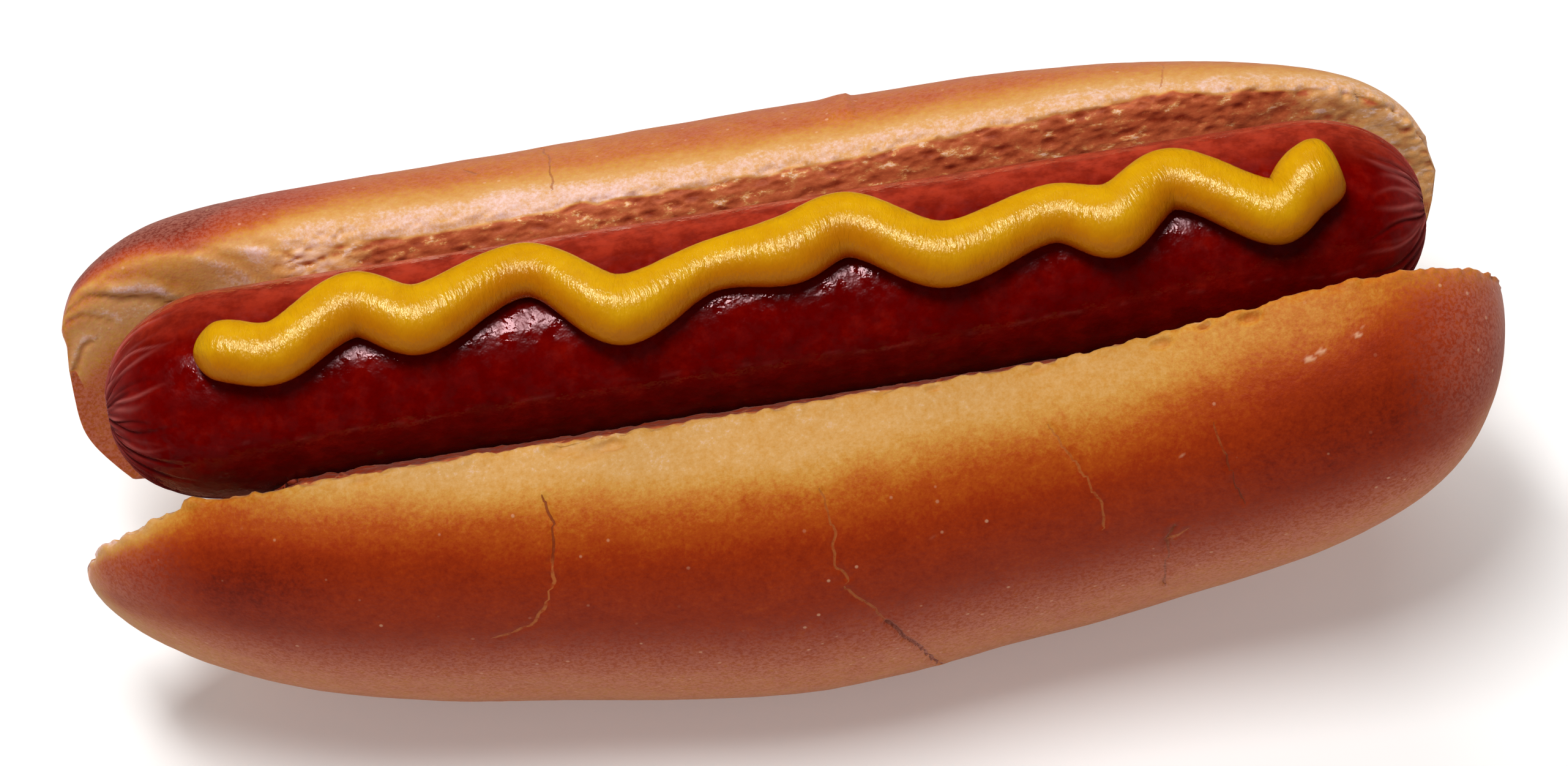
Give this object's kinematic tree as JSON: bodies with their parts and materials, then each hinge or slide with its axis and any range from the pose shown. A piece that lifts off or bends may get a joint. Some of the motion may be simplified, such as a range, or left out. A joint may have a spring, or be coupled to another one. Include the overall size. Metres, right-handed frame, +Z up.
{
  "type": "hot dog",
  "caption": "Sausage seated in a split bread bun that opens upward on its hinge, with a wavy bead of yellow mustard squeezed along the top of the sausage.",
  "frame": {"origin": "on the table under the middle of the hot dog's bounding box, at the flat spot the bun rests on", "axes": "+X along the bun and sausage, +Y from the near half of the bun (lower, wavier lip) to the far half, +Z up"},
  "size_m": [0.1526, 0.0646, 0.06],
  "materials": {
    "bun_bread": "baked bread, golden to brown crust with a pale soft crumb",
    "sausage_skin": "glossy taut dark red skin",
    "mustard_sauce": "smooth glossy yellow sauce"
  },
  "bodies": {
    "root": {"bun": "bun_bread", "sausage": "sausage_skin", "mustard": "mustard_sauce"}
  },
  "joints": []
}
